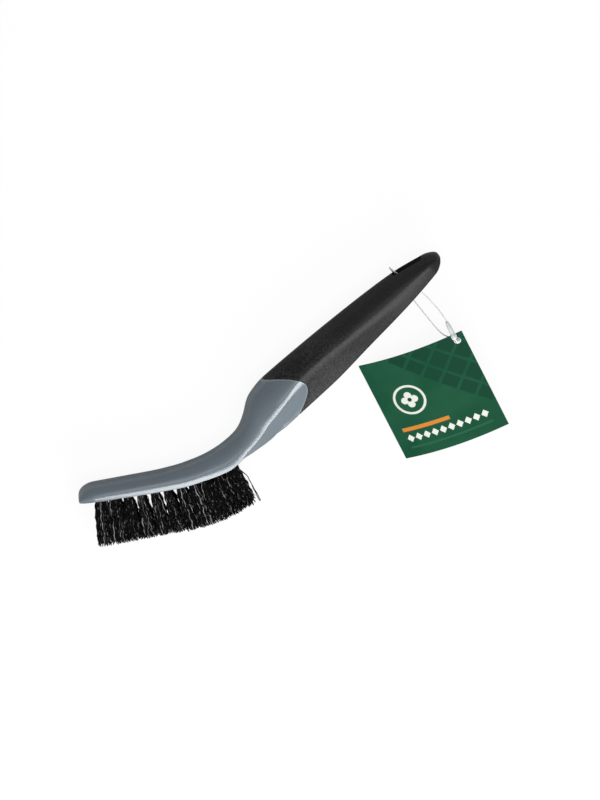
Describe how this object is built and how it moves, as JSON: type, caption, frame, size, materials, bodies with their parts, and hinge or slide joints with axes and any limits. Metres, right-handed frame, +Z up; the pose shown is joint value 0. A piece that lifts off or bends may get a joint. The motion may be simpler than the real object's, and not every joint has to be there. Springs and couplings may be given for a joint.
{
  "type": "crevice brush",
  "caption": "Narrow crevice brush with a blue-grey head, black crimped bristles, a black soft grip with a hanging slot, and a card tag on a nylon loop.",
  "frame": {"origin": "bottom centre of the brush's bounding box, without the tag and its loop: the brush lies on its side, so the bottom is the side of the grip that rests on the surface", "axes": "+X along the straight grip towards the hanging end, +Y towards the brush's back, away from the bristles, +Z up through the side of the brush"},
  "size_m": [0.2286, 0.1249, 0.022],
  "materials": {
    "head_plastic": "smooth, semi-gloss",
    "grip_rubber": "finely grained, matt",
    "bristle_nylon": "crimped filament, slight sheen",
    "anchor_wire": "drawn wire",
    "tag_card": "coated card",
    "loop_nylon": "translucent nylon"
  },
  "bodies": {
    "brush": {"brush_body": "head_plastic", "soft_grip": "grip_rubber", "tuft_01": "bristle_nylon", "tuft_02": "bristle_nylon", "tuft_03": "bristle_nylon", "tuft_04": "bristle_nylon", "tuft_05": "bristle_nylon", "tuft_06": "bristle_nylon", "tuft_07": "bristle_nylon", "tuft_08": "bristle_nylon", "tuft_09": "bristle_nylon", "tuft_10": "bristle_nylon", "tuft_11": "bristle_nylon", "tuft_12": "bristle_nylon", "tuft_13": "bristle_nylon", "tuft_14": "bristle_nylon", "tuft_15": "bristle_nylon", "tuft_16": "bristle_nylon", "tuft_17": "bristle_nylon", "tuft_18": "bristle_nylon", "tuft_19": "bristle_nylon", "tuft_20": "bristle_nylon", "tuft_21": "bristle_nylon", "tuft_22": "bristle_nylon", "anchor_01": "anchor_wire", "anchor_02": "anchor_wire", "anchor_03": "anchor_wire", "anchor_04": "anchor_wire", "anchor_05": "anchor_wire", "anchor_06": "anchor_wire", "anchor_07": "anchor_wire", "anchor_08": "anchor_wire", "anchor_09": "anchor_wire", "anchor_10": "anchor_wire", "anchor_11": "anchor_wire", "anchor_12": "anchor_wire", "anchor_13": "anchor_wire", "anchor_14": "anchor_wire", "anchor_15": "anchor_wire", "anchor_16": "anchor_wire", "anchor_17": "anchor_wire", "anchor_18": "anchor_wire", "anchor_19": "anchor_wire", "anchor_20": "anchor_wire", "anchor_21": "anchor_wire", "anchor_22": "anchor_wire"},
    "loop": {"tag_loop": "loop_nylon", "loop_lock": "loop_nylon"},
    "tag": {"hang_tag": "tag_card"}
  },
  "joints": [
    {"name": "loop_swing", "type": "hinge", "parent": "brush", "child": "loop", "pos_m": [0.09134, 0.00766, 0.011], "axis": [0, 0, 1], "range_deg": [-3, 30]},
    {"name": "tag_swing", "type": "hinge", "parent": "loop", "child": "tag", "pos_m": [0.09002, -0.04083, 0.0138], "axis": [0, 0, 1], "range_deg": [-5, 40]}
  ]
}
